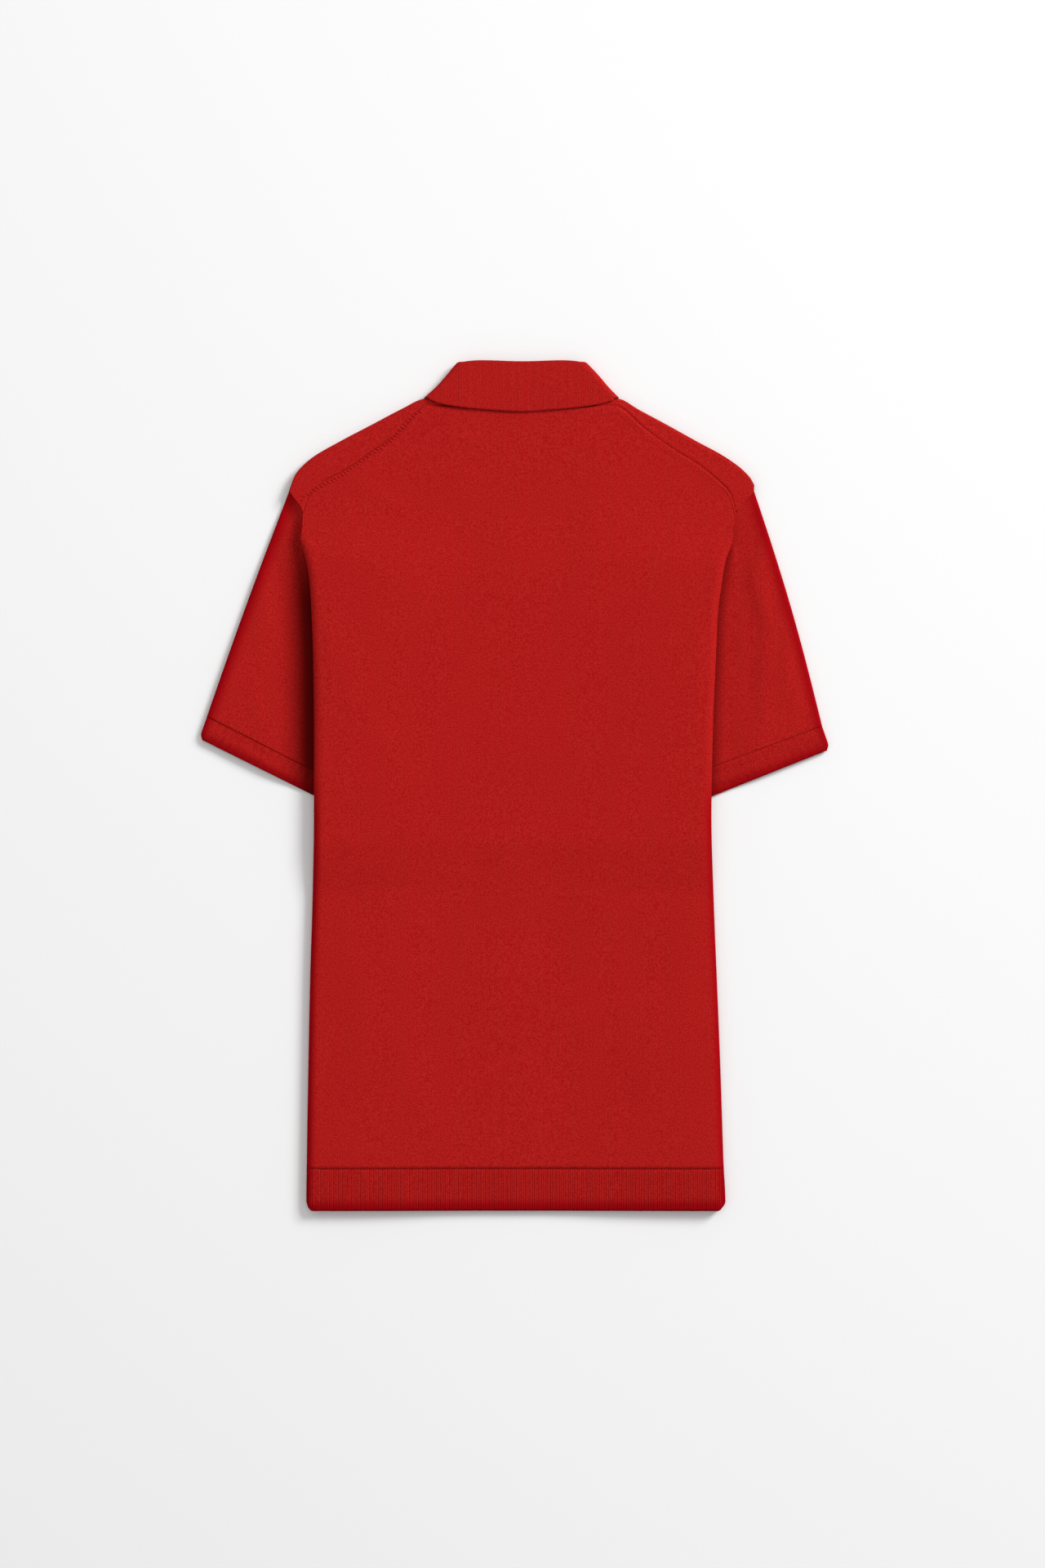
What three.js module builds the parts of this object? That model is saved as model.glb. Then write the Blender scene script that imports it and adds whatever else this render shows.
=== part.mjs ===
import * as THREE from 'three';

// Polo shirt of fine knit, laid face down with its collar at the top and both sides folded under.
// Millimetres. X runs to the right as seen from above, Y towards the collar, Z up from the surface.

// thickness of the knit and distance between the middles of two layers that touch
const WALL = 1.5;
const LAYER = 2.15;
const SEAM_GAP = 0.3;
const ARMHOLE_GAP = 1;
const SHOULDER_GAP = 0.7;

// the fold of the back panel at each side is half an ellipse of this width and height
const FOLD_WIDE = 7;
const FOLD_HIGH = 4.2;
const SHOULDER_FOLD_WIDE = 2.5;

const HEM_SEAM = -328;
const HEM_BOTTOM = -364.2;
const UNDERARM = 45;
const SHOULDER_POINT = 251;
const SHOULDER_SEAM_END = 232.5;
const PLACKET_WIDTH = 34;
const PLACKET_BOTTOM = 100;
const BACK_NECK = 324;
const FRONT_NECK = 250;
const NECK_WIDTH = { left: 74, right: 85 };
const NECK_RISE = 80;

// least cloth in the side fold and under it, where the armhole cuts the panel short
const LEAST_FOLD = 10;
const LEAST_UNDER = 8;

// sleeves: height beside the body, rise away from it, length and width for the spacing of points,
// length over which a sleeve comes down from the armhole, and least distance between its layers there
const SLEEVE_REST = 3.05;
const SLEEVE_PUFF = 2.2;
const SLEEVE_LENGTH = 190;
const TUBE_WIDTH = 200;
const SLEEVE_DESCENT = 45;
const LEAST_HOLLOW = 2.3;
// reach and bluntness of the round outer and inner ends of a sleeve's flat tube
const TUBE_END = 3;
const TUBE_BLUNTNESS = 0.95;
const CUFF_CORNER = 12;

// tables start a little beyond the hem
const BELOW_HEM = -364.4;
// step for the direction that a surface faces
const STEP = 0.05;

// outline of the folded body: distance of each edge from the centre line
const bodyEdge = [
  { y: HEM_BOTTOM, left: 177, right: 179 },
  { y: -360, left: 178.6, right: 180.6 },
  { y: -322, left: 178.2, right: 178.9 },
  { y: -238, left: 176.8, right: 176.1 },
  { y: -168, left: 175.4, right: 173.3 },
  { y: -98, left: 173.3, right: 170.5 },
  { y: -28, left: 171.9, right: 168.4 },
  { y: 51, left: 171.9, right: 169.8 },
  { y: 108, left: 172.6, right: 172.2 },
  { y: 147, left: 174, right: 174 },
  { y: 173, left: 175.7, right: 177.4 },
  { y: 190, left: 178.3, right: 180.2 },
  { y: 202, left: 181.8, right: 184.4 },
  { y: 214, left: 187.5, right: 191 },
  { y: 232, left: 200, right: 206 },
];

// half width of a panel before its sides are folded, with the armhole curve above the underarm
const halfWidth = [
  { y: BELOW_HEM, left: 251, right: 251 },
  { y: UNDERARM, left: 251, right: 251 },
  { y: 60, left: 231, right: 231 },
  { y: 80, left: 216, right: 216 },
  { y: 110, left: 203, right: 203 },
  { y: 150, left: 193, right: 193 },
  { y: 190, left: 187, right: 188.5 },
  { y: 214, left: 182.4, right: 186 },
  { y: SHOULDER_SEAM_END, left: 181.5, right: 189.3 },
  { y: SHOULDER_POINT, left: 193.5, right: 205.5 },
];

// height of the middle of the back panel at its folded edge and at the centre line
const levels = [
  { y: BELOW_HEM, edge: 9.15, centre: 5.85 },
  { y: -130, edge: 9.15, centre: 6.3 },
  { y: -95, edge: 9.15, centre: 7 },
  { y: -70, edge: 11.5, centre: 8.4 },
  { y: -45, edge: 13.55, centre: 10.2 },
  { y: 100, edge: 13.55, centre: 10.2 },
  { y: 170, edge: 13.5, centre: 10 },
  { y: 190, edge: 13.2, centre: 9.6 },
  { y: 202, edge: 12, centre: 9.2 },
  { y: 214, edge: 10.4, centre: 8.8 },
  { y: 232, edge: 9, centre: 8.2 },
  { y: SHOULDER_POINT, edge: 8.2, centre: 7.8 },
  { y: 290, edge: 7.6, centre: 7.4 },
  { y: 330, edge: 7.3, centre: 7.3 },
];

// space left between the back and front panels, beyond two touching layers
const slack = [
  { y: BELOW_HEM, edge: 0, centre: 2.95 },
  { y: -45, edge: 0, centre: 2.95 },
  { y: 100, edge: 0, centre: 2.2 },
  { y: 190, edge: 0, centre: 2.2 },
  { y: 214, edge: 0.9, centre: 2.2 },
  { y: 232, edge: 1.4, centre: 2.2 },
  { y: 330, edge: 1.4, centre: 2.2 },
];

// shoulders from left to right: y of the outer fold, and y of the seam on the back
const shoulderFold = [
  { x: -193.5, fold: 252.5 }, { x: -187.3, fold: 266.4 }, { x: -173.3, fold: 280.4 },
  { x: -149.5, fold: 294.4 }, { x: -122.9, fold: 308.4 }, { x: -96.3, fold: 322.4 },
  { x: -78, fold: 331 }, { x: -74, fold: 331.5 }, { x: 85, fold: 331.5 },
  { x: 90, fold: 330.8 }, { x: 104.7, fold: 322.4 }, { x: 130.6, fold: 308.4 },
  { x: 155.8, fold: 294.4 }, { x: 181, fold: 280.4 }, { x: 198.5, fold: 266.4 },
  { x: 205.5, fold: 254 },
];
const shoulderSeam = [
  { x: -181.5, seam: 232.5 }, { x: -174, seam: 251.6 }, { x: -140.4, seam: 272.7 },
  { x: -117.3, seam: 289.5 }, { x: -98.4, seam: 302.8 }, { x: -74, seam: 325.4 },
  { x: 85, seam: 324.4 }, { x: 112.4, seam: 304.2 }, { x: 138.3, seam: 286 },
  { x: 158.6, seam: 273.4 }, { x: 174, seam: 260.8 }, { x: 183.8, seam: 250.6 },
  { x: 189.3, seam: 232.5 },
];

// sleeves: ends of the cuff seam and of the cuff's edge, outer fold first, and the bow of that fold
const sleeveShapes = {
  left: { seam: [[263.9, 58.6], [103, -22.9]], edge: [[270.4, 40.2], [112, -38.7]], bow: 1.2 },
  right: { seam: [[263.4, 50.6], [103, -9]], edge: [[270.3, 31], [108, -33.8]], bow: 2.9 },
};

// collar: half width of its outline going down, and lower edge of the fall across the back
const collarOutline = [
  { y: 330.5, left: 78.8, right: 90.3 }, { y: 340.5, left: 67.6, right: 80.5 },
  { y: 350, left: 59, right: 72.5 }, { y: 360, left: 50.8, right: 63 },
  { y: 363.9, left: 47, right: 59 },
];
const fallEdge = [
  { x: -78.8, y: 332.3 }, { x: -71.8, y: 329.4 }, { x: -59.9, y: 325.4 }, { x: -32.6, y: 321.9 },
  { x: 6.7, y: 319.6 }, { x: 35.4, y: 321.4 }, { x: 62.7, y: 324.2 }, { x: 82.3, y: 328.5 },
  { x: 89.3, y: 332.3 },
];
const COLLAR_TOP = 363.9;
const COLLAR_FRONT_FOLD = 285;
const COLLAR_POINT = { x: 45, y: 212 };
const COLLAR_FOLD = 2.1;
const COLLAR_TURN = 2.9;
// at its sides: lower edges of the stand and of the fall, and drop of the fold; gap at the front
const COLLAR_SIDE_STAND = 333;
const COLLAR_SIDE_FALL = 332.6;
const COLLAR_SIDE_DROP = 1.5;
const COLLAR_OPENING = 3;

const BUTTON_RADIUS = 5.5;
const BUTTON_THICKNESS = 2;
const BUTTON_HEIGHTS = [232, 180, 128];
const BUTTON_GAP = 0.5;
const HOLE_SPREAD = 1.7;
const HOLE_RADIUS = 0.8;

const knit = new THREE.MeshStandardMaterial({ color: 0xa71a18, roughness: 0.95, metalness: 0 });
const rib = new THREE.MeshStandardMaterial({ color: 0x9c1715, roughness: 0.95, metalness: 0 });
const plastic = new THREE.MeshStandardMaterial({ color: 0x8e1a18, roughness: 0.45, metalness: 0 });

// value of a column on a smooth curve through the rows of a table, which are in rising order
function along(rows, place, column, at) {
  const last = rows.length - 1;
  if (at <= rows[0][place]) return rows[0][column];
  if (at >= rows[last][place]) return rows[last][column];
  let i = 0;
  while (at > rows[i + 1][place]) i += 1;
  const rise = (k) => (rows[k + 1][column] - rows[k][column]) / (rows[k + 1][place] - rows[k][place]);
  const slope = (k) => {
    if (k === 0) return rise(0);
    if (k === last) return rise(last - 1);
    const before = rise(k - 1);
    const after = rise(k);
    return before * after <= 0 ? 0 : (2 * before * after) / (before + after);
  };
  const span = rows[i + 1][place] - rows[i][place];
  const t = (at - rows[i][place]) / span;
  const t2 = t * t;
  const t3 = t2 * t;
  return (2 * t3 - 3 * t2 + 1) * rows[i][column] + (t3 - 2 * t2 + t) * span * slope(i)
    + (3 * t2 - 2 * t3) * rows[i + 1][column] + (t3 - t2) * span * slope(i + 1);
}

const mix = (a, b, t) => a + (b - a) * t;
const smooth = (from, to, at) => {
  const t = Math.min(1, Math.max(0, (at - from) / (to - from)));
  return t * t * (3 - 2 * t);
};
const sideOf = (x) => (x < 0 ? 'left' : 'right');
const halfEllipse = (a, b) => Math.PI * Math.sqrt((a * a + b * b) / 2);

// heights of the two layers that lie open on each other
function backHeight(x, y) {
  const edge = along(levels, 'y', 'edge', y);
  const centre = along(levels, 'y', 'centre', y);
  return mix(centre, edge, smooth(20, 150, Math.abs(x)));
}
function frontHeight(x, y) {
  const edge = along(slack, 'y', 'edge', y);
  const centre = along(slack, 'y', 'centre', y);
  return backHeight(x, y) - LAYER - mix(centre, edge, smooth(60, 105, Math.abs(x)));
}

// a point of the cloth at a distance from the centre line, measured along it and round the side fold
function sideFold(distance, y, inner) {
  const side = Math.sign(distance) || 1;
  const edge = along(bodyEdge, 'y', sideOf(distance), y) - WALL / 2;
  const wide = FOLD_WIDE - (inner ? LAYER : 0);
  const high = FOLD_HIGH - (inner ? LAYER : 0);
  const start = edge - FOLD_WIDE;
  const length = halfEllipse(wide, high);
  const past = Math.abs(distance) - start;
  const middle = along(levels, 'y', 'edge', y) - FOLD_HIGH;
  if (past <= 0) return { x: distance, z: (inner ? frontHeight : backHeight)(distance, y), turn: 0 };
  const turn = Math.min(Math.PI, (Math.PI * past) / length);
  const under = Math.max(0, past - length);
  return {
    x: side * (start + wide * Math.sin(turn) - under), z: middle + high * Math.cos(turn), turn,
  };
}

// unfolded half width of a panel, less what the tighter fold of the front panel saves
function panelHalfWidth(side, y, inner) {
  const width = along(halfWidth, 'y', side, y);
  if (!inner) return width;
  const start = along(bodyEdge, 'y', side, y) - WALL / 2 - FOLD_WIDE;
  const outerLength = halfEllipse(FOLD_WIDE, FOLD_HIGH);
  const saved = outerLength - halfEllipse(FOLD_WIDE - LAYER, FOLD_HIGH - LAYER);
  return width - saved * Math.min(1, Math.max(0, (width - start) / outerLength));
}

// columns of a panel at one height: inner ones, flat ones, those of the fold and those folded under
const NECK_SHARES = [0.6, 0.84, 1];
const INNER_COLUMNS = 1 + NECK_SHARES.length;
const FLAT_COLUMNS = 4;
const FOLD_COLUMNS = 6;
const UNDER_COLUMNS = 3;
const SIDE_COLUMNS = INNER_COLUMNS + FLAT_COLUMNS + FOLD_COLUMNS + UNDER_COLUMNS;
const CENTRE_COLUMN = SIDE_COLUMNS;
const COLUMN_COUNT = 2 * SIDE_COLUMNS + 1;

function columnDistance(column, y, inner) {
  const step = Math.abs(column - CENTRE_COLUMN);
  if (step === 0) return 0;
  const side = column < CENTRE_COLUMN ? 'left' : 'right';
  const neck = NECK_WIDTH[side];
  const innerPlaces = [PLACKET_WIDTH / 2 + SEAM_GAP, ...NECK_SHARES.map((share) => share * neck)];
  const level = Math.min(y, inner ? SHOULDER_POINT : SHOULDER_SEAM_END);
  const end = panelHalfWidth(side, level, inner);
  const start = along(bodyEdge, 'y', side, level) - WALL / 2 - FOLD_WIDE;
  const outerLength = halfEllipse(FOLD_WIDE, FOLD_HIGH);
  const length = inner ? halfEllipse(FOLD_WIDE - LAYER, FOLD_HIGH - LAYER) : outerLength;
  const tight = length / outerLength;
  const foldEnd = Math.min(start + length, end - LEAST_UNDER * tight);
  const foldStart = Math.min(start, foldEnd - LEAST_FOLD * tight);
  let place;
  if (step <= INNER_COLUMNS) place = innerPlaces[step - 1];
  else if (step <= INNER_COLUMNS + FLAT_COLUMNS) {
    place = mix(neck, foldStart, (step - INNER_COLUMNS) / FLAT_COLUMNS);
  } else if (step <= INNER_COLUMNS + FLAT_COLUMNS + FOLD_COLUMNS) {
    place = mix(foldStart, foldEnd, (step - INNER_COLUMNS - FLAT_COLUMNS) / FOLD_COLUMNS);
  } else {
    place = mix(foldEnd, end, (step - SIDE_COLUMNS + UNDER_COLUMNS) / UNDER_COLUMNS);
  }
  return side === 'left' ? -place : place;
}

// a point of a panel and the direction that faces out of the cloth's upper side there
function panelSurface(inner) {
  const at = (distance, y) => {
    const fold = sideFold(distance, y, inner);
    return new THREE.Vector3(fold.x, y, fold.z);
  };
  return (distance, y) => {
    const across = at(distance + STEP, y).sub(at(distance - STEP, y));
    const up = at(distance, y + STEP).sub(at(distance, y - STEP));
    return { at: at(distance, y), normal: across.cross(up).normalize() };
  };
}

// the closed wall on a grid of points, in the cells that are kept; joined round when it is a tube
function wallMesh(name, grid, material, keep = () => true, tube = false) {
  const rows = grid.length;
  const columns = grid[0].length;
  const points = [];
  for (const side of [1, -1]) {
    for (const row of grid) {
      for (const cell of row) {
        points.push(cell.at.clone().addScaledVector(cell.normal, (side * WALL) / 2));
      }
    }
  }
  const upper = (i, j) => i * columns + (j % columns);
  const below = rows * columns;
  const kept = (i, j) => {
    if (i < 0 || i >= rows - 1) return false;
    if (!tube && (j < 0 || j >= columns - 1)) return false;
    return keep(i, (j + columns) % columns);
  };
  const faces = [];
  const quad = (a, b, c, d) => faces.push(a, b, c, a, c, d);
  const edge = (a, b) => quad(a, a + below, b + below, b);
  const lastColumn = tube ? columns : columns - 1;
  for (let i = 0; i < rows - 1; i += 1) {
    for (let j = 0; j < lastColumn; j += 1) {
      if (!kept(i, j)) continue;
      const a = upper(i, j);
      const b = upper(i, j + 1);
      const c = upper(i + 1, j + 1);
      const d = upper(i + 1, j);
      quad(a, b, c, d);
      quad(a + below, d + below, c + below, b + below);
      if (!kept(i - 1, j)) edge(a, b);
      if (!kept(i, j + 1)) edge(b, c);
      if (!kept(i + 1, j)) edge(c, d);
      if (!kept(i, j - 1)) edge(d, a);
    }
  }
  return closedMesh(name, points, faces, material);
}

// a mesh of the points that its faces use, facing outwards
function closedMesh(name, points, faces, material) {
  let volume = 0;
  for (let i = 0; i < faces.length; i += 3) {
    const [a, b, c] = [points[faces[i]], points[faces[i + 1]], points[faces[i + 2]]];
    volume += a.dot(new THREE.Vector3().crossVectors(b, c));
  }
  const ordered = volume < 0 ? faces.slice().reverse() : faces;
  const places = new Map();
  const used = [];
  const index = ordered.map((k) => {
    if (!places.has(k)) {
      places.set(k, used.length / 3);
      used.push(points[k].x, points[k].y, points[k].z);
    }
    return places.get(k);
  });
  const geometry = new THREE.BufferGeometry();
  geometry.setAttribute('position', new THREE.Float32BufferAttribute(used, 3));
  geometry.setIndex(index);
  geometry.computeVertexNormals();
  const mesh = new THREE.Mesh(geometry, material);
  mesh.name = name;
  return mesh;
}

// neck edge of the front panel, straight from one column to the next
function neckline(x) {
  const share = Math.abs(x) / NECK_WIDTH[sideOf(x)];
  const knots = [0, ...NECK_SHARES];
  let k = 0;
  while (k < knots.length - 2 && share > knots[k + 1]) k += 1;
  const height = (at) => FRONT_NECK + NECK_RISE * at ** 3;
  return mix(height(knots[k]), height(knots[k + 1]), (share - knots[k]) / (knots[k + 1] - knots[k]));
}
const foldLine = (x) => along(shoulderFold, 'x', 'fold', x) - WALL / 2;
const seamLine = (x) => along(shoulderSeam, 'x', 'seam', x);

// top of a column: on the neckline near the centre, else on the shoulder
function columnTop(column, inner) {
  const step = Math.abs(column - CENTRE_COLUMN);
  const x = columnDistance(column, inner ? SHOULDER_POINT : SHOULDER_SEAM_END, inner);
  if (inner) return { x, y: step < INNER_COLUMNS ? neckline(x) : foldLine(x) - SHOULDER_FOLD_WIDE };
  const rise = 1.2 * (x / NECK_WIDTH[sideOf(x)]) ** 2;
  return { x, y: (step < INNER_COLUMNS ? BACK_NECK + rise : seamLine(x)) - SHOULDER_GAP / 2 };
}

// heights of the rows of points of both panels; three more rows lead to the top of each column
const PANEL_HEIGHTS = [
  HEM_SEAM + SEAM_GAP / 2, -250, -180, -130, -95, -80, -62, -45, 0, UNDERARM, PLACKET_BOTTOM,
  140, 162, 178, 190, 198, 206, 214,
];
const TOP_SHARES = { outer: [1 / 3, 2 / 3, 1], inner: [0.27, 0.536, 1] };
const PANEL_ROWS = PANEL_HEIGHTS.length - 1 + TOP_SHARES.outer.length;

function panelRows(inner) {
  const surface = panelSurface(inner);
  const rows = [];
  for (let row = 0; row <= PANEL_ROWS; row += 1) {
    const cells = [];
    const beyond = row - PANEL_HEIGHTS.length;
    const share = TOP_SHARES[inner ? 'inner' : 'outer'][beyond];
    for (let column = 0; column < COLUMN_COUNT; column += 1) {
      const last = PANEL_HEIGHTS[PANEL_HEIGHTS.length - 1];
      const y = beyond < 0 ? PANEL_HEIGHTS[row] : mix(last, columnTop(column, inner).y, share);
      cells.push(surface(columnDistance(column, y, inner), y));
    }
    rows.push(cells);
  }
  return rows;
}

function backPanel() {
  return wallMesh('back_panel', panelRows(false), knit);
}

// the front panel turns over the fold of each shoulder and lies on the back up to the seam
const TURN_ROWS = 5;
const OVER_ROWS = 3;

function shoulderTurn(x, turn) {
  const at = (px, pt) => {
    const start = foldLine(px) - SHOULDER_FOLD_WIDE;
    const top = backHeight(px, start);
    const bottom = frontHeight(px, start);
    const z = mix(bottom, top, (1 - Math.cos(pt)) / 2);
    return new THREE.Vector3(px, start + SHOULDER_FOLD_WIDE * Math.sin(pt), z);
  };
  const across = at(x + STEP, turn).sub(at(x - STEP, turn));
  const round = at(x, turn + 0.01).sub(at(x, turn - 0.01));
  return { at: at(x, turn), normal: across.cross(round).normalize() };
}

function topSurface(x, y) {
  const at = (px, py) => new THREE.Vector3(px, py, backHeight(px, py));
  const across = at(x + STEP, y).sub(at(x - STEP, y));
  const down = at(x, y - STEP).sub(at(x, y + STEP));
  return { at: at(x, y), normal: across.cross(down).normalize() };
}

function frontPanel() {
  const rows = panelRows(true);
  const fold = [];
  const seam = [];
  for (let column = 0; column < COLUMN_COUNT; column += 1) {
    fold.push(columnTop(column, true));
    const x = columnTop(column, false).x;
    seam.push({ x, y: seamLine(x) + SHOULDER_GAP / 2 });
  }
  for (let row = 1; row < TURN_ROWS; row += 1) {
    rows.push(fold.map((place) => shoulderTurn(place.x, (Math.PI * row) / TURN_ROWS)));
  }
  for (let row = 0; row <= OVER_ROWS; row += 1) {
    const places = fold.map((place, column) => ({
      x: mix(place.x, seam[column].x, row / OVER_ROWS),
      y: mix(foldLine(place.x) - SHOULDER_FOLD_WIDE, seam[column].y, row / OVER_ROWS),
    }));
    rows.push(places.map(({ x, y }, column) => {
      const end = places[column < CENTRE_COLUMN ? 0 : COLUMN_COUNT - 1];
      const side = sideOf(end.x);
      const neck = NECK_WIDTH[side];
      const reach = (along(halfWidth, 'y', side, end.y) - neck) / (Math.abs(end.x) - neck);
      const out = neck + (Math.abs(x) - neck) * reach;
      return topSurface(side === 'left' ? -out : out, y);
    }));
  }
  const keep = (i, j) => {
    const nearCentre = j >= CENTRE_COLUMN - INNER_COLUMNS && j < CENTRE_COLUMN + INNER_COLUMNS;
    if (i >= PANEL_ROWS && nearCentre) return false;
    const slit = j === CENTRE_COLUMN - 1 || j === CENTRE_COLUMN;
    return !(slit && i >= SLIT_ROW);
  };
  return wallMesh('front_panel', rows, knit, keep);
}

const SLIT_ROW = PANEL_HEIGHTS.indexOf(PLACKET_BOTTOM);

// hem band: four rows, the last ones close together at the rounded corners
const HEM_ROWS = [0, 0.45, 0.82, 0.95, 1];

function hemBand(name, inner) {
  const surface = panelSurface(inner);
  const rows = HEM_ROWS.map((share) => {
    const y = mix(HEM_SEAM - SEAM_GAP / 2, HEM_BOTTOM, share);
    const cells = [];
    for (let column = 0; column < COLUMN_COUNT; column += 1) {
      cells.push(surface(columnDistance(column, y, inner), y));
    }
    return cells;
  });
  return wallMesh(name, rows, rib);
}

// sleeves and cuffs are flattened tubes; share runs round them from the outer fold to the inner one
const TURN_STEPS = 4;
const ARMHOLE_HEIGHTS = [SHOULDER_SEAM_END, 223, 214, 206, 198, 190, 178, 162, 140, 100, 70];
const TUBE_SHARES = ARMHOLE_HEIGHTS.map((y) => (SHOULDER_POINT - y) / (SHOULDER_POINT - UNDERARM));

function armholePoint(side, share) {
  const sign = side === 'left' ? -1 : 1;
  const y = mix(SHOULDER_POINT, UNDERARM, share);
  const fold = sideFold(sign * along(halfWidth, 'y', side, y), y, false);
  const turned = fold.turn / Math.PI;
  const away = ARMHOLE_GAP + (LAYER - 0.1) * turned;
  const x = fold.x + sign * Math.cos(fold.turn / 2) * away;
  const top = fold.z - Math.sin(fold.turn / 2) * away;
  const low = mix(frontHeight(fold.x, y), WALL / 2, turned);
  return { x, y, top, bottom: Math.max(WALL / 2, Math.min(low, top - LEAST_HOLLOW)) };
}

function sleeveHeight(x, y) {
  const beyond = Math.abs(x) - along(bodyEdge, 'y', sideOf(x), Math.min(y, 190));
  return SLEEVE_REST + SLEEVE_PUFF * smooth(2, 38, beyond);
}

function tubeRing(place) {
  const ends = [place(0), place(1)].map((p) => {
    const half = (p.top - p.bottom) / 2;
    return Math.min(TUBE_END, (half * half) / TUBE_BLUNTNESS);
  });
  const ring = [];
  const point = (share, lift) => {
    const p = place(share);
    ring.push(new THREE.Vector3(p.x, p.y, mix(p.bottom, p.top, (1 + lift) / 2)));
  };
  const first = (WALL / 2 + ends[0]) / TUBE_WIDTH;
  const last = 1 - (WALL / 2 + ends[1]) / TUBE_WIDTH;
  const shares = [first, ...TUBE_SHARES, last];
  shares.forEach((share) => point(share, 1));
  for (let k = 1; k < TURN_STEPS; k += 1) {
    const turn = (Math.PI * k) / TURN_STEPS;
    point(last + (ends[1] * Math.sin(turn)) / TUBE_WIDTH, Math.cos(turn));
  }
  shares.reverse().forEach((share) => point(share, -1));
  for (let k = 1; k < TURN_STEPS; k += 1) {
    const turn = (Math.PI * k) / TURN_STEPS;
    point(first - (ends[0] * Math.sin(turn)) / TUBE_WIDTH, -Math.cos(turn));
  }
  return ring;
}

// normals of a tube from its neighbouring points
function tubeGrid(rings) {
  const count = rings[0].length;
  return rings.map((ring, i) => ring.map((at, j) => {
    const round = ring[(j + 1) % count].clone().sub(ring[(j + count - 1) % count]);
    const next = rings[Math.min(rings.length - 1, i + 1)][j];
    const lengthways = next.clone().sub(rings[Math.max(0, i - 1)][j]);
    return { at, normal: round.cross(lengthways).normalize() };
  }));
}

function sleevePlace(side, share, down) {
  const sign = side === 'left' ? -1 : 1;
  const shape = sleeveShapes[side];
  const start = armholePoint(side, share);
  const x = mix(start.x, sign * mix(shape.seam[0][0], shape.seam[1][0], share), down)
    + sign * shape.bow * Math.sin(Math.PI * down) * (1 - share) ** 2;
  const y = mix(start.y, mix(shape.seam[0][1], shape.seam[1][1], share), down);
  const near = (1 - Math.min(1, (down * SLEEVE_LENGTH) / SLEEVE_DESCENT)) ** 2;
  return {
    x, y,
    top: sleeveHeight(x, y) + (start.top - sleeveHeight(start.x, start.y)) * near,
    bottom: WALL / 2 + (start.bottom - WALL / 2) * near,
  };
}

const SLEEVE_STATIONS = [0, 0.03, 0.07, 0.12, 0.18, 0.26, 0.4, 0.55, 0.7, 0.85, 0.9965];

function sleeve(side) {
  const rings = SLEEVE_STATIONS.map((down) => tubeRing((share) => sleevePlace(side, share, down)));
  return wallMesh(`sleeve_${side}`, tubeGrid(rings), knit, () => true, true);
}

const CUFF_STATIONS = [0.02, 0.5, 0.85, 1];

function cuff(side) {
  const sign = side === 'left' ? -1 : 1;
  const { seam, edge } = sleeveShapes[side];
  const rings = CUFF_STATIONS.map((down) => tubeRing((share) => {
    const inset = down > 0.84 ? (down - 0.7) * CUFF_CORNER / TUBE_WIDTH : 0;
    const place = mix(inset, 1, share);
    const x = sign * mix(mix(seam[0][0], seam[1][0], place), mix(edge[0][0], edge[1][0], place), down);
    const y = mix(mix(seam[0][1], seam[1][1], place), mix(edge[0][1], edge[1][1], place), down);
    return { x, y, top: sleeveHeight(x, y), bottom: WALL / 2 };
  }));
  return wallMesh(`cuff_${side}`, tubeGrid(rings), rib, () => true, true);
}

// the collar is one band folded over at its top: the stand inside, the fall outside.
// Stations go from the middle of the front round the left side and the back to the front again.
const STAND_TURN_STEPS = 4;

function collarStations() {
  const stations = [];
  for (let k = 0; k <= 8; k += 1) stations.push({ part: 'front', side: 'left', share: k / 8 });
  for (let k = 1; k < 5; k += 1) stations.push({ part: 'side', side: 'left', turn: Math.PI * (1 - k / 5) });
  for (let k = 0; k <= 14; k += 1) stations.push({ part: 'back', share: k / 14 });
  for (let k = 1; k < 5; k += 1) stations.push({ part: 'side', side: 'right', turn: (Math.PI * k) / 5 });
  for (let k = 8; k >= 0; k -= 1) stations.push({ part: 'front', side: 'right', share: k / 8 });
  return stations;
}

function collarPoint(station, y, out) {
  const turnWidth = COLLAR_TURN + out;
  const half = (side) => along(collarOutline, 'y', side, y) - WALL / 2 - (COLLAR_FOLD - out);
  if (station.part === 'back') {
    const x = mix(turnWidth - half('left'), half('right') - turnWidth, station.share);
    return new THREE.Vector3(x, y, backHeight(x, y) + out);
  }
  const sign = station.side === 'left' ? -1 : 1;
  const reach = half(station.side);
  const end = reach - turnWidth;
  const top = backHeight(sign * end, y) + out;
  const bottom = frontHeight(sign * end, y) - out;
  if (station.part === 'side') {
    const x = sign * (end + turnWidth * Math.sin(station.turn));
    return new THREE.Vector3(x, y, mix(bottom, top, (1 + Math.cos(station.turn)) / 2));
  }
  const slant = (COLLAR_POINT.x - COLLAR_OPENING) / (COLLAR_FRONT_FOLD - COLLAR_POINT.y);
  const start = COLLAR_OPENING + slant * Math.max(0, COLLAR_FRONT_FOLD - y) * (out / COLLAR_FOLD);
  const x = sign * mix(start, end, station.share);
  return new THREE.Vector3(x, y, frontHeight(x, y) - out);
}

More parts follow.
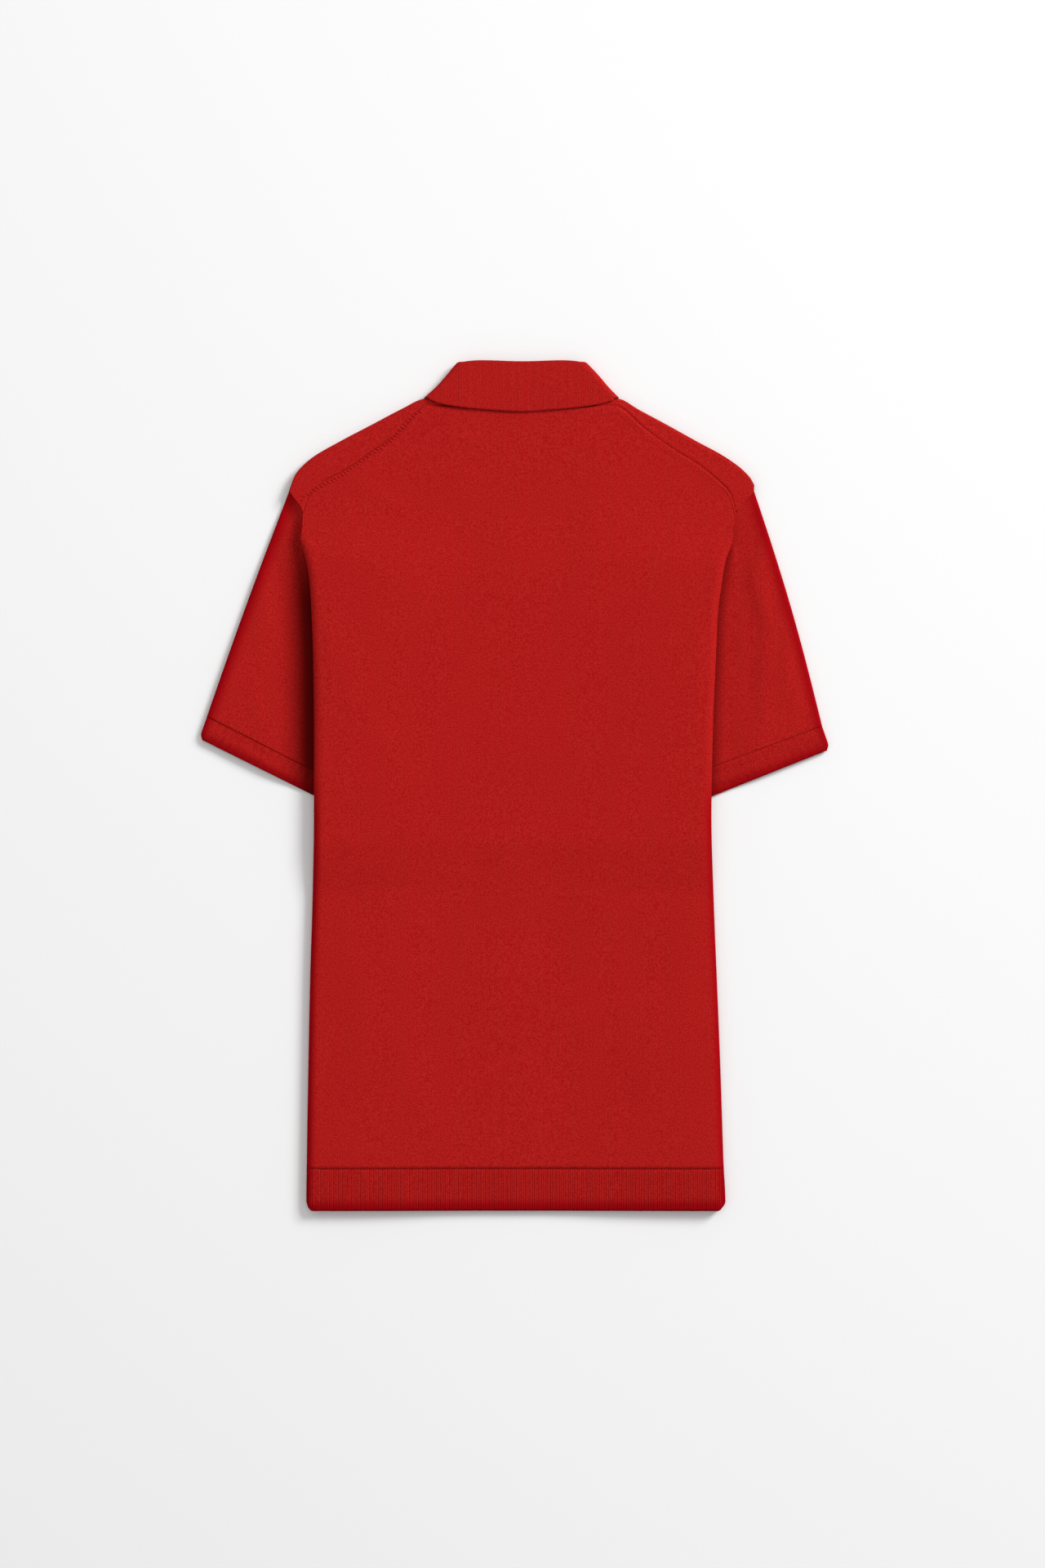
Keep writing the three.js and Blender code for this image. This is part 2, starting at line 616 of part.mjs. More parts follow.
// heights of the stand's lower edge, the fold and the fall's lower edge at a station
function collarHeights(station) {
  const top = COLLAR_TOP - WALL / 2 - COLLAR_FOLD / 2;
  if (station.part === 'side') {
    return { stand: COLLAR_SIDE_STAND, fold: top - COLLAR_SIDE_DROP, fall: COLLAR_SIDE_FALL };
  }
  if (station.part === 'back') {
    const corner = Math.abs(station.share * 2 - 1) ** 8;
    const middle = collarPoint(station, BACK_NECK, COLLAR_FOLD);
    const stand = BACK_NECK + 1.6 + 6 * (station.share * 2 - 1) ** 2;
    return { stand, fold: top - COLLAR_SIDE_DROP * corner, fall: along(fallEdge, 'x', 'y', middle.x) };
  }
  const share = station.share;
  const x = collarPoint(station, BACK_NECK, 0).x;
  return {
    stand: Math.min(COLLAR_SIDE_STAND, neckline(x) + 0.6 + 12 * smooth(0.8, 1, share)),
    fold: mix(COLLAR_FRONT_FOLD, top - COLLAR_SIDE_DROP, share),
    fall: mix(COLLAR_POINT.y, COLLAR_SIDE_FALL, share ** 1.3),
  };
}

function collar() {
  const rings = collarStations().map((station) => {
    const { stand, fold, fall } = collarHeights(station);
    const ring = [];
    for (let k = 0; k <= 3; k += 1) ring.push(collarPoint(station, mix(stand, fold, k / 3), 0));
    for (let k = 1; k < STAND_TURN_STEPS; k += 1) {
      const turn = (Math.PI * k) / STAND_TURN_STEPS;
      const out = (COLLAR_FOLD * (1 - Math.cos(turn))) / 2;
      ring.push(collarPoint(station, fold + (COLLAR_FOLD / 2) * Math.sin(turn), out));
    }
    for (let k = 0; k <= 4; k += 1) ring.push(collarPoint(station, mix(fold, fall, k / 4), COLLAR_FOLD));
    return ring;
  });
  const count = rings[0].length;
  const grid = rings.map((ring, i) => ring.map((at, j) => {
    const before = rings[Math.max(0, i - 1)][j];
    const after = rings[Math.min(rings.length - 1, i + 1)][j];
    const up = ring[Math.min(count - 1, j + 1)].clone().sub(ring[Math.max(0, j - 1)]);
    return { at, normal: after.clone().sub(before).cross(up).normalize() };
  }));
  return wallMesh('collar', grid, rib);
}

// front opening: the outer strip fills the slit of the front panel, the inner one lies above it
function placketStrip(name, lift, width, bottom) {
  const rows = [];
  for (let row = 0; row <= 6; row += 1) {
    const y = mix(bottom, FRONT_NECK - SEAM_GAP, row / 6);
    const cells = [-1, 0, 1].map((part) => {
      const at = (x, py) => new THREE.Vector3(x, py, frontHeight(x, py) + lift);
      const x = (part * width) / 2;
      const up = at(x, y + STEP).sub(at(x, y - STEP));
      const across = at(x + STEP, y).sub(at(x - STEP, y));
      return { at: at(x, y), normal: across.cross(up).normalize() };
    });
    rows.push(cells);
  }
  return wallMesh(name, rows, knit);
}

function button(number, y) {
  const outline = new THREE.Shape().absarc(0, 0, BUTTON_RADIUS, 0, 2 * Math.PI);
  for (let k = 0; k < 4; k += 1) {
    const angle = Math.PI / 4 + (k * Math.PI) / 2;
    const x = HOLE_SPREAD * Math.cos(angle);
    outline.holes.push(new THREE.Path().absarc(x, HOLE_SPREAD * Math.sin(angle), HOLE_RADIUS, 0, 2 * Math.PI, true));
  }
  const geometry = new THREE.ExtrudeGeometry(outline, {
    depth: BUTTON_THICKNESS, bevelEnabled: false, curveSegments: 8,
  });
  geometry.translate(0, y, frontHeight(0, y) - WALL / 2 - BUTTON_GAP - BUTTON_THICKNESS);
  const mesh = new THREE.Mesh(geometry, plastic);
  mesh.name = `button_${number}`;
  return mesh;
}

const shirt = new THREE.Group();
shirt.name = 'polo_shirt';
shirt.add(backPanel(), frontPanel());
shirt.add(sleeve('left'), sleeve('right'), cuff('left'), cuff('right'));
shirt.add(hemBand('hem_band_back', false), hemBand('hem_band_front', true));
shirt.add(collar());
shirt.add(placketStrip('placket_over', 0, PLACKET_WIDTH, PLACKET_BOTTOM + SEAM_GAP));
shirt.add(placketStrip('placket_under', LAYER, PLACKET_WIDTH - 2, PLACKET_BOTTOM + 2));
BUTTON_HEIGHTS.forEach((y, index) => shirt.add(button(index + 1, y)));

export default shirt;
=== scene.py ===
import math
import random

import bpy
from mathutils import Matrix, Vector, noise


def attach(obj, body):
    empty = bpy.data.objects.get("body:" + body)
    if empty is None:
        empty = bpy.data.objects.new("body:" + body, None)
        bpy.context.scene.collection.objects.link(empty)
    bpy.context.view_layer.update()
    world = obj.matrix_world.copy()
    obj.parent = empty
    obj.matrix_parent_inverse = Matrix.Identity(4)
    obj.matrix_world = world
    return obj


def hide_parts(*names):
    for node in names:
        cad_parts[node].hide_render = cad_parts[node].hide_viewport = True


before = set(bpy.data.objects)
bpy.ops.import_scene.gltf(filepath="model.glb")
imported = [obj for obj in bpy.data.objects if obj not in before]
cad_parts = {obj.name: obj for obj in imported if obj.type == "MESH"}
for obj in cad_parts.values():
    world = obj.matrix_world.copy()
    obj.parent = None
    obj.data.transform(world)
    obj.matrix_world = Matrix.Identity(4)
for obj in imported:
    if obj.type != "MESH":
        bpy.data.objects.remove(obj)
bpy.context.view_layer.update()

# Polo shirt of fine knit, laid face down with both sides folded under. Sizes below are in millimetres,
# in the frame of the solids, and MM turns them into metres when a mesh is made.
MM = 0.001
SIDES = ("left", "right")

# body
WALL = 1.5
LAYER = 2.15
FOLD_WIDE = 7
FOLD_HIGH = 4.2
SHOULDER_FOLD_WIDE = 2.5
HEM_SEAM = -328
HEM_BOTTOM = -364.2
UNDERARM = 45
SHOULDER_POINT = 251
SHOULDER_SEAM_END = 232.5
BACK_NECK = 324
BACK_NECK_RISE = 1.2
FRONT_NECK = 250
FRONT_NECK_RISE = 80
NECK_WIDTH = {"left": 74, "right": 85}
SEAM_GAP = 0.1
SEAM_GROOVE = {"left": 0.75, "right": 0.3}
SEAM_WELT = {"left": 0, "right": 0.5}
SEAM_GROOVE_WIDE = 1.6
SEAM_WELT_OFF = 2
SEAM_WELT_WIDE = 1.1
SEAM_SLANT = 0.78
SEAM_REACH = (230, 327)
HEM_GROOVE = 0.35
GROOVE_WIDE = 1.2
HEM_START = 0.3
HEM_TURN = 11
# strip of painted shade along the bottom of the hem: it starts 13 mm above the bottom and is full 3 mm above
# it
HEM_RIM_SHADE = (13, 3)
HEM_SINK = {"seam": 0.3, "bottom": 0.9}
HEM_CORNER = {"reach": 6.5, "rise": 4.5}

# the outer end of each shoulder is drawn in, and the sleeve starts a little above and inside it
CORNER_TUCK = 0.7
CORNER_TUCK_REACH = 9
CORNER_LAP = (1.9, 5)
SEAM_TUCK = 2.2

# placket
PLACKET_WIDTH = 34
PLACKET_BOTTOM = 100
PLACKET_CELLS = (8, 40)

# sleeves and cuffs
SLEEVE_REST = 2.1
SLEEVE_PUFF = 3.2
SLEEVE_PUFF_REACH = (4, 46)
SLEEVE_DESCENT = 20
SLEEVE_LENGTH = 190
SLEEVE_ROWS = 90
# painted shadow where a sleeve runs in under the body: how dark it gets, over which distances from the body,
# and between which heights
VALLEY_SHADE_PLACES = {
    "left": {"share": 0.93, "reach": (36, 1), "power": 1.2, "rise": (240, 150)},
    "right": {"share": 0.5, "reach": (11, 0), "power": 1, "rise": (246, 205)},
}
TUBE_WIDTH = 200
TUBE_LEAST = 2.3
TUBE_BLUNTNESS = 0.95
TUBE_LONGEST_END = 3
EDGE_LEVEL = 190
CUFF_DEPTH = 19
CUFF_START = -0.02
CUFF_CORNER = 46
CUFF_CORNER_START = 0.72
CUFF_PINCH = 0.35
CUFF_DROP = 1.2
CUFF_LEAST = 1.9

# ribs
HEM_RIB = 1.55
CUFF_RIB = 1.3
COLLAR_RIB = 1.3
RIB_DEPTH = 0.2
INNER_RIB_DEPTH = 0.1
CUFF_RIB_DEPTH = 0.1
BAND_ROWS = 14

# collar
COLLAR_TOP = 363.9
COLLAR_FOLD = 2.1
COLLAR_TURN = 2.9
COLLAR_FRONT_FOLD = 285
COLLAR_POINT = (45, 212)
COLLAR_START = 3
COLLAR_SIDE_STAND = 333
COLLAR_SIDE_FALL = 331.2
COLLAR_SIDE_DROP = 1.5
COLLAR_DIP = (7, 40, 1.1)
NECK_LAP = 4
STAND_OFF_NECK = {"back": 1.6, "front": 0.6}
STAND_SIDE_RISE = {"back": 6, "front": 12}
FRONT_CELLS = 20
SIDE_CELLS = 10
BACK_CELLS = 70
STAND_CELLS = 10
TURN_CELLS = 8
FALL_CELLS = 26

# thickness of each sheet, under the wall of its solid
PANEL_THICK = 1.3
SLEEVE_THICK = 1.2
CUFF_THICK = 1.1
HEM_THICK = 1
COLLAR_THICK = 1.4

# length of a cell on the flat, across a fold and from row to row
BACK_STEPS = (2.6, 1.3, 3)
FRONT_STEPS = (3.4, 1.6, 4.5)

# the rows of a panel are level up to LEVEL_TOP; each reach is a usual length that sets a count of cells
LEVEL_TOP = 214
FLAT_REACH = 170
FOLD_REACH = 18
UNDER_REACH = 60
SHOULDER_REACH = 110
NECK_SHARE = 0.45

# marks beside the shoulder seams, where stitches were moved in knitting
MARK_REACH = (78, 178)
MARK_OFF_SEAM = 5.2
MARK_LEAN = 0.36 * math.pi
MARK_HALF_WIDTH = 0.75
MARK_BASE = 0.6
MARK_CELLS = (6, 4)
MARKS = {
    "left": {"spacing": 3.4, "half_length": 2.1, "lift": 0.75},
    "right": {"spacing": 3.6, "half_length": 1.5, "lift": 0.3},
}

# each table has a row for each section; its first column is the place, in rising order
BODY_EDGE = {
    "y": (HEM_BOTTOM, -360, -322, -238, -168, -98, -28, 51, 108, 147, 173, 190, 202, 214, 232),
    "left": (177, 178.6, 178.2, 176.8, 175.4, 173.3, 171.9, 171.9, 172.6, 174,
             175.7, 178.3, 181.8, 187.5, 200),
    "right": (179, 180.6, 178.9, 176.1, 173.3, 170.5, 168.4, 169.8, 172.2, 174,
              177.4, 180.2, 184.4, 191, 206),
}
HALF_WIDTH = {
    "y": (UNDERARM, 60, 80, 110, 150, 190, 214, SHOULDER_SEAM_END, SHOULDER_POINT),
    "left": (251, 231, 216, 203, 193, 187, 182.4, 181.5, 193.5),
    "right": (251, 231, 216, 203, 193, 188.5, 186, 189.3, 205.5),
}
LEVELS = {
    "y": (-364.4, -130, -95, -70, -45, 100, 170, 190, 202, 214, 232, SHOULDER_POINT, 290, 330),
    "edge": (9.15, 9.15, 9.15, 11.5, 13.55, 13.55, 13.5, 13.2, 12, 10.4, 9, 8.2, 7.6, 7.3),
    "centre": (5.85, 6.3, 7, 8.4, 10.2, 10.2, 10, 9.6, 9.2, 8.8, 8.2, 7.8, 7.4, 7.3),
}
SLACK = {
    "y": (-364.4, -45, 100, 190, 214, 232, 330),
    "edge": (0, 0, 0, 0, 0.9, 1.4, 1.4),
    "centre": (2.95, 2.95, 2.2, 2.2, 2.2, 2.2, 2.2),
}
SHOULDER_FOLD = {
    "x": (-193.5, -187.3, -173.3, -149.5, -122.9, -96.3, -78, -74,
          85, 90, 104.7, 130.6, 155.8, 181, 198.5, 205.5),
    "y": (252.5, 266.4, 280.4, 294.4, 308.4, 322.4, 331, 331.5,
          331.5, 330.8, 322.4, 308.4, 294.4, 280.4, 266.4, 254),
}
SHOULDER_SEAM = {
    "x": (-181.5, -174, -140.4, -117.3, -98.4, -74, 85, 112.4, 138.3, 158.6, 174, 183.8, 189.3),
    "y": (232.5, 251.6, 272.7, 289.5, 302.8, 325.4, 324.4, 304.2, 286, 273.4, 260.8, 250.6, 232.5),
}
COLLAR_OUTLINE = {
    "y": (330.5, 340.5, 350, 360, 363.9),
    "left": (78.8, 67.6, 59, 50.8, 47),
    "right": (90.3, 80.5, 72.5, 63, 59),
}
FALL_EDGE = {
    "x": (-78.8, -71.8, -59.9, -32.6, 6.7, 35.4, 62.7, 82.3, 89.3),
    "y": (332.3, 329.4, 325.4, 321.9, 319.6, 321.4, 324.2, 328.5, 332.3),
}

# cuff seam and cuff edge of each sleeve, from the outer fold to the hidden inner one
CUFFS = {
    "left": {"seam": ((263.9, 58.6), (103, -22.9)), "edge": ((270.4, 40.2), (112, -38.7)), "bow": 1.2},
    "right": {"seam": ((263.4, 50.6), (103, -9)), "edge": ((270.3, 31), (108, -33.8)), "bow": 2.9},
}

# creases: both ends, half width and height of a soft ridge, or trough where it is negative
BODY_CREASES = (
    ((-60, 296), (52, 300), 5, 0.22), ((-40, 282), (66, 285), 6, 0.18), ((-52, 268), (40, 262), 7, 0.16),
    ((-20, 312), (48, 308), 4, -0.2), ((-150, 262), (-96, 236), 9, 0.35), ((150, 258), (104, 226), 10, 0.3),
    ((-160, 150), (-120, 40), 14, 0.45), ((158, 120), (132, 10), 12, 0.35), ((60, 170), (30, -20), 22, 0.3),
    ((-70, 90), (-84, -90), 20, -0.35), ((-150, -120), (-128, -250), 12, 0.35),
    ((140, -90), (156, -230), 14, 0.4), ((-20, -150), (10, -290), 24, 0.3),
    ((80, -200), (104, -310), 16, -0.35), ((-100, -240), (-64, -318), 13, 0.3),
)
SLEEVE_CREASES = (
    ((206, 190), (214, 130), 7, 0.9), ((228, 130), (240, 72), 6, 0.7), ((214, 216), (206, 178), 6, 0.8),
    ((196, 150), (206, 60), 8, -0.7), ((244, 84), (236, 50), 5, 0.4), ((222, 190), (226, 150), 5, -0.5),
    ((-214, 190), (-226, 120), 9, 0.5), ((-236, 120), (-246, 70), 7, 0.4), ((-204, 120), (-214, 50), 8, -0.5),
    ((-222, 80), (-214, 44), 6, 0.4),
)

# slow unevenness: its scale and its height
BODY_RIPPLES = ((70, 0.3), (26, 0.08))
SLEEVE_RIPPLE = (34, 0.5)

# linear colours
RED = (0.385, 0.0104, 0.0092)
# painted shade: the dark red of the rims of the sheets
RIM_SHADE_RED = (0.31, 0.0016, 0.0042)
# painted shadow: the near black red of the sleeve valleys beside the body
VALLEY_SHADE_RED = (0.075, 0.0008, 0.0007)
BUTTON_RED = (0.22, 0.012, 0.011)
FLOOR_GREYS = (0.85, 0.86)

# knit: width of a loop column in millimetres, and scales of the noises
LOOP_WIDTH = 1.1
GRAIN_SCALE = 800
PATCH_SCALE = 14
BUTTON_SCALE = 260
PAPER_SCALE = 3

# studio, in metres and watts
LIGHTS = {
    "key": {"place": (5.1, 4.0, 4.0), "size": 2.8, "power": 555},
    "fill": {"place": (-0.3, 0.6, 3.4), "size": 3, "power": 26},
}
WORLD_LIGHT = 0.43
FLOOR_SIZE = 12
FLOOR_LEVEL = -0.0002
EYE = (0.00665, 0.00105, 4.0)
VIEW_WIDTH = 0.896
SENSOR = 36


# curves
def along(table, column, at):
    """Value of a column on a smooth curve through the rows of a table."""
    place = table["x"] if column == "y" else table["y"]
    values = table[column]
    last = len(place) - 1
    if at <= place[0]:
        return values[0]
    if at >= place[last]:
        return values[last]
    i = 0
    while at > place[i + 1]:
        i += 1

    def rise(k):
        return (values[k + 1] - values[k]) / (place[k + 1] - place[k])

    def slope(k):
        if k == 0:
            return rise(0)
        if k == last:
            return rise(last - 1)
        before = rise(k - 1)
        after = rise(k)
        return 0 if before * after <= 0 else 2 * before * after / (before + after)

    span = place[i + 1] - place[i]
    t = (at - place[i]) / span
    t2 = t * t
    t3 = t2 * t
    start = (2 * t3 - 3 * t2 + 1) * values[i] + (t3 - 2 * t2 + t) * span * slope(i)
    return start + (3 * t2 - 2 * t3) * values[i + 1] + (t3 - t2) * span * slope(i + 1)


def mix(a, b, t):
    """Value at a share of the way from one number to another."""
    return a + (b - a) * t


def smooth(start, end, at):
    """Soft step from 0 at the start to 1 at the end, which may be the lower of the two."""
    t = min(1, max(0, (at - start) / (end - start)))
    return t * t * (3 - 2 * t)


def bell(off, width):
    """Soft hump, 1 in its middle and gone at about twice its width."""
    return math.exp(-(off / width) ** 2)


def side_of(x):
    """Name of the side of the shirt that a point is on."""
    return "left" if x < 0 else "right"


def sign_of(side):
    return -1 if side == "left" else 1


def half_ellipse(a, b):
    """Length of half of an ellipse, near enough for the round of a fold."""
    return math.pi * math.sqrt((a * a + b * b) / 2)


# heights of the laid cloth
def crease_height(creases, x, y):
    """Height that the soft creases add at a point."""
    total = 0
    for (x0, y0), (x1, y1), width, height in creases:
        dx = x1 - x0
        dy = y1 - y0
        length = math.hypot(dx, dy)
        t = ((x - x0) * dx + (y - y0) * dy) / (length * length)
        if t < -0.3 or t > 1.3:
            continue
        bend = 0.06 * length * math.sin(3 * t + x0)
        off = ((x - x0) * dy - (y - y0) * dx) / length + bend
        if abs(off) > 3 * width:
            continue
        fade = smooth(-0.3, 0.3, t) * smooth(1.3, 0.7, t)
        total += height * fade * bell(off, width)
    return total


def ripple(x, y, scale, height):
    """Slow unevenness of a cloth."""
    return height * noise.noise(Vector((x / scale, y / scale, scale)))


def back_height(x, y):
    """Height of the middle of the wall of the back, without its relief."""
    edge = along(LEVELS, "edge", y)
    centre = along(LEVELS, "centre", y)
    return mix(centre, edge, smooth(20, 150, abs(x)))


def front_height(x, y):
    """Height of the middle of the wall of the front, which lies under the back."""
    edge = along(SLACK, "edge", y)
    centre = along(SLACK, "centre", y)
    return back_height(x, y) - LAYER - mix(centre, edge, smooth(60, 105, abs(x)))


def top_relief(x, y):
    """Creases, slow unevenness and the groove of the seams on the cloth that faces up."""
    relief = crease_height(BODY_CREASES, x, y)
    for scale, height in BODY_RIPPLES:
        relief += ripple(x, y, scale, height)
    if SEAM_REACH[0] < y < SEAM_REACH[1]:
        off = abs(y - seam_line(x)) * SEAM_SLANT
        relief -= SEAM_GROOVE[side_of(x)] * bell(off, SEAM_GROOVE_WIDE)
        relief += SEAM_WELT[side_of(x)] * bell(off - SEAM_WELT_OFF, SEAM_WELT_WIDE)
    if HEM_SEAM < y < HEM_SEAM + 8:
        relief -= HEM_GROOVE * bell(y - HEM_SEAM, GROOVE_WIDE)
    return relief


# panels of the body
def fold_start(side, y):
    """Distance from the centre line at which the cloth starts to turn round the side fold."""
    return along(BODY_EDGE, side, y) - WALL / 2 - FOLD_WIDE


def fold_length(inner):
    """Length of the cloth round a side fold, on the outer or the inner layer."""
    if inner:
        return half_ellipse(FOLD_WIDE - LAYER, FOLD_HIGH - LAYER)
    return half_ellipse(FOLD_WIDE, FOLD_HIGH)


def side_fold(distance, y, inner):
    """x, z and turn of the cloth at a distance from the centre line, measured along it round the fold."""
    start = fold_start(side_of(distance), y)
    past = abs(distance) - start
    if past <= 0 and inner:
        return distance, front_height(distance, y), 0
    if past <= 0:
        return distance, back_height(distance, y) + top_relief(distance, y) * smooth(0, 6, -past), 0
    wide = FOLD_WIDE - (LAYER if inner else 0)
    high = FOLD_HIGH - (LAYER if inner else 0)
    length = fold_length(inner)
    middle = along(LEVELS, "edge", y) - FOLD_HIGH
    turn = min(math.pi, math.pi * past / length)
    under = max(0, past - length)
    x = sign_of(side_of(distance)) * (start + wide * math.sin(turn) - under)
    return x, middle + high * math.cos(turn), turn


def panel_half_width(side, y, inner):
    """Length of the cloth from the centre line to the armhole or the side seam, round the fold."""
    width = along(HALF_WIDTH, side, y)
    if not inner:
        return width
    saved = fold_length(False) - fold_length(True)
    return width - saved * min(1, max(0, (width - fold_start(side, y)) / fold_length(False)))


def neck_columns(step_flat):
    """Count of the columns from the centre line to the side of the neck."""
    return round(round(FLAT_REACH / step_flat) * NECK_SHARE)


def column_distances(y, inner, steps):
    """Distances of the columns at one height, left to right, the same number at every height."""
    step_flat, step_fold, _ = steps
    level = min(y, SHOULDER_POINT if inner else SHOULDER_SEAM_END)
    in_neck = neck_columns(step_flat)
    flat = round(FLAT_REACH / step_flat) - in_neck
    turns = round(FOLD_REACH / step_fold)
    under = round(UNDER_REACH / step_flat)
    sides = {}
    for side in SIDES:
        end = panel_half_width(side, level, inner)
        tight = fold_length(inner) / fold_length(False)
        last = min(fold_start(side, level) + fold_length(inner), end - 8 * tight)
        first = min(fold_start(side, level), last - 10 * tight)
        neck = NECK_WIDTH[side]
        places = [neck * k / in_neck for k in range(1, in_neck + 1)]
        places += [mix(neck, first, k / flat) for k in range(1, flat + 1)]
        places += [mix(first, last, k / turns) for k in range(1, turns + 1)]
        places += [mix(last, end, k / under) for k in range(1, under + 1)]
        sides[side] = places
    return [-place for place in reversed(sides["left"])] + [0] + sides["right"]


def neckline(x):
    """Line of the front neck opening."""
    share = abs(x) / NECK_WIDTH[side_of(x)]
    return FRONT_NECK + FRONT_NECK_RISE * min(1, share) ** 3


def seam_line(x):
    """Line of the slanted shoulder seam."""
    return along(SHOULDER_SEAM, "y", x)


def fold_line(x):
    """Top of the shoulder, at the middle of the wall."""
    return along(SHOULDER_FOLD, "y", x) - WALL / 2


def panel_top(x, in_neck, inner):
    """Top of a column of a panel, which is at x there."""
    if inner:
        return neckline(x) if in_neck else fold_line(x) - SHOULDER_FOLD_WIDE
    if in_neck:
        return BACK_NECK + BACK_NECK_RISE * (x / NECK_WIDTH[side_of(x)]) ** 2
    return seam_line(x) + SEAM_GAP


def panel_point(distance, y, inner):
    x, z, _ = side_fold(distance, y, inner)
    return x, y, z


def level_heights(step_row):
    """Heights of the level rows, from the hem seam up."""
    count = round((LEVEL_TOP - HEM_SEAM) / step_row)
    return [mix(HEM_SEAM, LEVEL_TOP, k / count) for k in range(count + 1)]


def panel_rows(inner, steps):
    """Rows of points of a panel from the hem seam to the top of each column."""
    limit = SHOULDER_POINT if inner else SHOULDER_SEAM_END
    tops = column_distances(limit, inner, steps)
    centre = len(tops) // 2
    reach = neck_columns(steps[0])
    ends = [panel_top(x, abs(column - centre) < reach, inner) for column, x in enumerate(tops)]
    rows = []
    for y in level_heights(steps[2]):
        rows.append([panel_point(distance, y, inner) for distance in column_distances(y, inner, steps)])
    top_rows = round(SHOULDER_REACH / steps[2])
    for row in range(1, top_rows + 1):
        known = {}
        points = []
        for column, end in enumerate(ends):
            y = mix(LEVEL_TOP, end, row / top_rows)
            level = round(min(y, limit), 3)
            if level not in known:
                known[level] = column_distances(level, inner, steps)
            points.append(panel_point(known[level][column], y, inner))
        rows.append(points)
    return rows


def side_rim_shade(x, y):
    """How far a point is into the strip of painted shade along the side of the body, from none to all."""
    return smooth(8, 1.5, along(BODY_EDGE, side_of(x), y) - abs(x)) * smooth(20, -30, y)


def back_panel(material):
    """Back, from the hem band to the neck and the slanted seams, folded under at both sides."""
    rows = panel_rows(False, BACK_STEPS)
    # painted shade on the strip along each folded side, fading out below the sleeves
    rim_shades = [[side_rim_shade(x, y) for x, y, z in row] for row in rows]
    return make_piece("back_cloth", rows, material, PANEL_THICK, rim_shades=rim_shades)


def tuck_corner(x):
    """Draws the outer end of a shoulder in, so that it runs into the sleeve."""
    corner = along(HALF_WIDTH, side_of(x), SHOULDER_POINT)
    drawn = CORNER_TUCK * smooth(corner - CORNER_TUCK_REACH, corner, abs(x))
    return x + drawn if x < 0 else x - drawn


def shoulder_turn(tops, turn):
    """Row of points of the front where it turns over the top of the shoulders."""
    points = []
    for x in tops:
        start = fold_line(x) - SHOULDER_FOLD_WIDE
        top = back_height(x, start)
        low = front_height(x, start)
        y = start + SHOULDER_FOLD_WIDE * math.sin(turn)
        points.append((tuck_corner(x), y, mix(low, top, (1 - math.cos(turn)) / 2)))
    return points


def shoulder_wrap(tops, back_tops, share):
    """Row of points of the front on the back of the shoulders, from their top to the slanted seam."""
    places = []
    for x, back_x in zip(tops, back_tops):
        start = fold_line(x) - SHOULDER_FOLD_WIDE
        seam = seam_line(back_x) - SEAM_GAP
        places.append((mix(x, back_x, share), mix(start, seam, share)))
    points = []
    for column, (x, y) in enumerate(places):
        end_x, end_y = places[0] if column < len(tops) // 2 else places[-1]
        side = side_of(end_x)
        neck = NECK_WIDTH[side]
        reach = (along(HALF_WIDTH, side, end_y) - neck) / (abs(end_x) - neck)
        x = sign_of(side) * (neck + (abs(x) - neck) * reach)
        x = mix(tuck_corner(x), x, share * share)
        points.append((x, y, back_height(x, y) + top_relief(x, y) * smooth(0, 0.4, share)))
    return points


def front_panel(material):
    """Front, inside the back, with the slit of the placket; its shoulders wrap over to the back."""
    rows = panel_rows(True, FRONT_STEPS)
    tops = column_distances(SHOULDER_POINT, True, FRONT_STEPS)
    back_tops = column_distances(SHOULDER_SEAM_END, False, FRONT_STEPS)
    centre = len(tops) // 2
    open_columns = neck_columns(FRONT_STEPS[0]) - NECK_LAP
    first_wrap = len(rows) - 1
    heights = level_heights(FRONT_STEPS[2])
    slit = [k for k, y in enumerate(heights) if y > PLACKET_BOTTOM][0]
    turns = 10
    rows += [shoulder_turn(tops, math.pi * k / turns) for k in range(1, turns)]
    rows += [shoulder_wrap(tops, back_tops, k / turns) for k in range(turns + 1)]

    def keep(i, j):
        if i >= first_wrap and centre - open_columns <= j < centre + open_columns:
            return False
        in_slit = abs(tops[j]) < PLACKET_WIDTH / 2 and abs(tops[j + 1]) < PLACKET_WIDTH / 2
        return not (in_slit and i >= slit)

    return make_piece("front_cloth", rows, material, PANEL_THICK, keep=keep)


def hem_band(name, inner, material):
    """Band of upright ribs round half of the hem, turned under at both sides with the panel."""
    rows = []
    rim_shades = []
    fine = 5 if inner else 7
    depth = INNER_RIB_DEPTH if inner else RIB_DEPTH
    for row in range(BAND_ROWS + 1):
        y = mix(HEM_SEAM + HEM_START, HEM_BOTTOM, row / BAND_ROWS)
        coarse = column_distances(y, inner, FRONT_STEPS if inner else BACK_STEPS)
        distances = [mix(a, b, k / fine) for a, b in zip(coarse, coarse[1:]) for k in range(fine)]
        distances.append(coarse[-1])
        bottom = smooth(HEM_BOTTOM + HEM_TURN, HEM_BOTTOM, y)
        bottom_shade = smooth(HEM_BOTTOM + HEM_RIM_SHADE[0], HEM_BOTTOM + HEM_RIM_SHADE[1], y)
        sunk = HEM_SINK["seam"] * bell(y - HEM_SEAM, GROOVE_WIDE) + HEM_SINK["bottom"] * bottom * bottom
        low = 0 if inner else sunk
        points = []
        for distance in distances:
            x, z, turn = side_fold(distance, y, inner)
            out = depth * math.cos(2 * math.pi * distance / HEM_RIB)
            near = smooth(HEM_CORNER["reach"], 0, along(BODY_EDGE, side_of(x), HEM_SEAM) - abs(x))
            x += sign_of(side_of(distance)) * out * math.sin(turn)
            rise = HEM_CORNER["rise"] * near * near * bottom
            points.append((x, y + rise, z + (out - low) * math.cos(turn)))
        rows.append(points)
        # painted shade on the bottom strip of the band and along its folded sides
        rim_shades.append([max(bottom_shade, side_rim_shade(point[0], y)) for point in points])
    return make_piece(name, rows, material, HEM_THICK, rim_shades=rim_shades)


